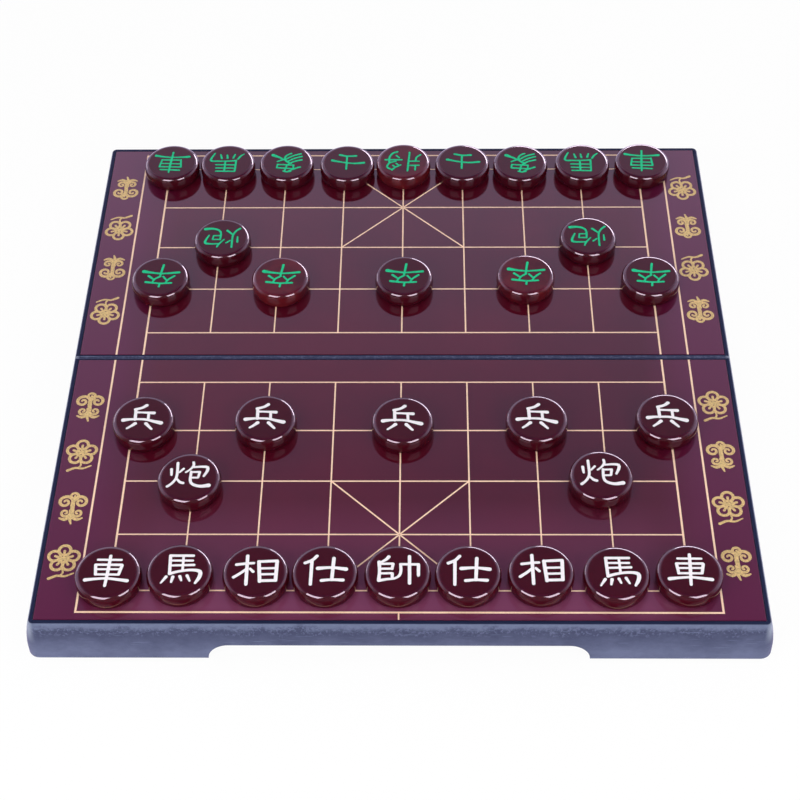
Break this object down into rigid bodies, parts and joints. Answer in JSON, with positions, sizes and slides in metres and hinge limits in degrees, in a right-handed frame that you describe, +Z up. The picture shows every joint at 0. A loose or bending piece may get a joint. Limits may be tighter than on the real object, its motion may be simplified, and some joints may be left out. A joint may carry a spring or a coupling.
{
  "type": "folding xiangqi board and case",
  "caption": "Folding board game case with a river board on its lids, a middle hinge, rubber feet and magnetic disc pieces that lift off.",
  "frame": {"origin": "on the table, under the middle of the open board", "axes": "+X along the ranks to the near player's right, +Y from the near player to the far player, +Z up"},
  "size_m": [0.3246, 0.3132, 0.0331],
  "materials": {
    "case_plastic": "slate blue, finely textured moulding",
    "board_print": "glossy purple-red printed face",
    "gold_print": "gold lines and figures printed on the board",
    "piece_plastic": "polished dark maroon moulding",
    "white_mark": "white paint in the sunk characters of the near men",
    "green_mark": "green paint in the sunk characters of the far men",
    "steel_sheet": "thin mild steel sheet",
    "hinge_pin": "plain steel wire",
    "foot_rubber": "matt dark rubber"
  },
  "bodies": {
    "near_half": {"near_case_shell": "case_plastic", "near_board_panel": "board_print", "near_steel_sheet": "steel_sheet", "right_hinge_pin": "hinge_pin", "near_rubber_feet": "foot_rubber"},
    "far_half": {"far_case_shell": "case_plastic", "far_board_panel": "board_print", "far_steel_sheet": "steel_sheet", "left_hinge_pin": "hinge_pin", "far_rubber_feet": "foot_rubber"},
    "near_chariot_left_piece": {"near_chariot_left": "piece_plastic"},
    "near_horse_left_piece": {"near_horse_left": "piece_plastic"},
    "near_elephant_left_piece": {"near_elephant_left": "piece_plastic"},
    "near_advisor_left_piece": {"near_advisor_left": "piece_plastic"},
    "near_general_piece": {"near_general": "piece_plastic"},
    "near_advisor_right_piece": {"near_advisor_right": "piece_plastic"},
    "near_elephant_right_piece": {"near_elephant_right": "piece_plastic"},
    "near_horse_right_piece": {"near_horse_right": "piece_plastic"},
    "near_chariot_right_piece": {"near_chariot_right": "piece_plastic"},
    "near_cannon_left_piece": {"near_cannon_left": "piece_plastic"},
    "near_cannon_right_piece": {"near_cannon_right": "piece_plastic"},
    "near_soldier_1_piece": {"near_soldier_1": "piece_plastic"},
    "near_soldier_2_piece": {"near_soldier_2": "piece_plastic"},
    "near_soldier_3_piece": {"near_soldier_3": "piece_plastic"},
    "near_soldier_4_piece": {"near_soldier_4": "piece_plastic"},
    "near_soldier_5_piece": {"near_soldier_5": "piece_plastic"},
    "far_chariot_left_piece": {"far_chariot_left": "piece_plastic"},
    "far_horse_left_piece": {"far_horse_left": "piece_plastic"},
    "far_elephant_left_piece": {"far_elephant_left": "piece_plastic"},
    "far_advisor_left_piece": {"far_advisor_left": "piece_plastic"},
    "far_general_piece": {"far_general": "piece_plastic"},
    "far_advisor_right_piece": {"far_advisor_right": "piece_plastic"},
    "far_elephant_right_piece": {"far_elephant_right": "piece_plastic"},
    "far_horse_right_piece": {"far_horse_right": "piece_plastic"},
    "far_chariot_right_piece": {"far_chariot_right": "piece_plastic"},
    "far_cannon_left_piece": {"far_cannon_left": "piece_plastic"},
    "far_cannon_right_piece": {"far_cannon_right": "piece_plastic"},
    "far_soldier_1_piece": {"far_soldier_1": "piece_plastic"},
    "far_soldier_2_piece": {"far_soldier_2": "piece_plastic"},
    "far_soldier_3_piece": {"far_soldier_3": "piece_plastic"},
    "far_soldier_4_piece": {"far_soldier_4": "piece_plastic"},
    "far_soldier_5_piece": {"far_soldier_5": "piece_plastic"}
  },
  "joints": [
    {"name": "fold", "type": "hinge", "parent": "near_half", "child": "far_half", "pos_m": [0, 0, 0.00275], "axis": [-1, 0, 0], "range_deg": [0, 180]},
    {"name": "lift_near_chariot_left", "type": "slide", "parent": "near_half", "child": "near_chariot_left_piece", "axis": [0, 0, 1], "range_m": [0, 0.025]},
    {"name": "lift_near_horse_left", "type": "slide", "parent": "near_half", "child": "near_horse_left_piece", "axis": [0, 0, 1], "range_m": [0, 0.025]},
    {"name": "lift_near_elephant_left", "type": "slide", "parent": "near_half", "child": "near_elephant_left_piece", "axis": [0, 0, 1], "range_m": [0, 0.025]},
    {"name": "lift_near_advisor_left", "type": "slide", "parent": "near_half", "child": "near_advisor_left_piece", "axis": [0, 0, 1], "range_m": [0, 0.025]},
    {"name": "lift_near_general", "type": "slide", "parent": "near_half", "child": "near_general_piece", "axis": [0, 0, 1], "range_m": [0, 0.025]},
    {"name": "lift_near_advisor_right", "type": "slide", "parent": "near_half", "child": "near_advisor_right_piece", "axis": [0, 0, 1], "range_m": [0, 0.025]},
    {"name": "lift_near_elephant_right", "type": "slide", "parent": "near_half", "child": "near_elephant_right_piece", "axis": [0, 0, 1], "range_m": [0, 0.025]},
    {"name": "lift_near_horse_right", "type": "slide", "parent": "near_half", "child": "near_horse_right_piece", "axis": [0, 0, 1], "range_m": [0, 0.025]},
    {"name": "lift_near_chariot_right", "type": "slide", "parent": "near_half", "child": "near_chariot_right_piece", "axis": [0, 0, 1], "range_m": [0, 0.025]},
    {"name": "lift_near_cannon_left", "type": "slide", "parent": "near_half", "child": "near_cannon_left_piece", "axis": [0, 0, 1], "range_m": [0, 0.025]},
    {"name": "lift_near_cannon_right", "type": "slide", "parent": "near_half", "child": "near_cannon_right_piece", "axis": [0, 0, 1], "range_m": [0, 0.025]},
    {"name": "lift_near_soldier_1", "type": "slide", "parent": "near_half", "child": "near_soldier_1_piece", "axis": [0, 0, 1], "range_m": [0, 0.025]},
    {"name": "lift_near_soldier_2", "type": "slide", "parent": "near_half", "child": "near_soldier_2_piece", "axis": [0, 0, 1], "range_m": [0, 0.025]},
    {"name": "lift_near_soldier_3", "type": "slide", "parent": "near_half", "child": "near_soldier_3_piece", "axis": [0, 0, 1], "range_m": [0, 0.025]},
    {"name": "lift_near_soldier_4", "type": "slide", "parent": "near_half", "child": "near_soldier_4_piece", "axis": [0, 0, 1], "range_m": [0, 0.025]},
    {"name": "lift_near_soldier_5", "type": "slide", "parent": "near_half", "child": "near_soldier_5_piece", "axis": [0, 0, 1], "range_m": [0, 0.025]},
    {"name": "lift_far_chariot_left", "type": "slide", "parent": "far_half", "child": "far_chariot_left_piece", "axis": [0, 0, 1], "range_m": [0, 0.025]},
    {"name": "lift_far_horse_left", "type": "slide", "parent": "far_half", "child": "far_horse_left_piece", "axis": [0, 0, 1], "range_m": [0, 0.025]},
    {"name": "lift_far_elephant_left", "type": "slide", "parent": "far_half", "child": "far_elephant_left_piece", "axis": [0, 0, 1], "range_m": [0, 0.025]},
    {"name": "lift_far_advisor_left", "type": "slide", "parent": "far_half", "child": "far_advisor_left_piece", "axis": [0, 0, 1], "range_m": [0, 0.025]},
    {"name": "lift_far_general", "type": "slide", "parent": "far_half", "child": "far_general_piece", "axis": [0, 0, 1], "range_m": [0, 0.025]},
    {"name": "lift_far_advisor_right", "type": "slide", "parent": "far_half", "child": "far_advisor_right_piece", "axis": [0, 0, 1], "range_m": [0, 0.025]},
    {"name": "lift_far_elephant_right", "type": "slide", "parent": "far_half", "child": "far_elephant_right_piece", "axis": [0, 0, 1], "range_m": [0, 0.025]},
    {"name": "lift_far_horse_right", "type": "slide", "parent": "far_half", "child": "far_horse_right_piece", "axis": [0, 0, 1], "range_m": [0, 0.025]},
    {"name": "lift_far_chariot_right", "type": "slide", "parent": "far_half", "child": "far_chariot_right_piece", "axis": [0, 0, 1], "range_m": [0, 0.025]},
    {"name": "lift_far_cannon_left", "type": "slide", "parent": "far_half", "child": "far_cannon_left_piece", "axis": [0, 0, 1], "range_m": [0, 0.025]},
    {"name": "lift_far_cannon_right", "type": "slide", "parent": "far_half", "child": "far_cannon_right_piece", "axis": [0, 0, 1], "range_m": [0, 0.025]},
    {"name": "lift_far_soldier_1", "type": "slide", "parent": "far_half", "child": "far_soldier_1_piece", "axis": [0, 0, 1], "range_m": [0, 0.025]},
    {"name": "lift_far_soldier_2", "type": "slide", "parent": "far_half", "child": "far_soldier_2_piece", "axis": [0, 0, 1], "range_m": [0, 0.025]},
    {"name": "lift_far_soldier_3", "type": "slide", "parent": "far_half", "child": "far_soldier_3_piece", "axis": [0, 0, 1], "range_m": [0, 0.025]},
    {"name": "lift_far_soldier_4", "type": "slide", "parent": "far_half", "child": "far_soldier_4_piece", "axis": [0, 0, 1], "range_m": [0, 0.025]},
    {"name": "lift_far_soldier_5", "type": "slide", "parent": "far_half", "child": "far_soldier_5_piece", "axis": [0, 0, 1], "range_m": [0, 0.025]}
  ]
}
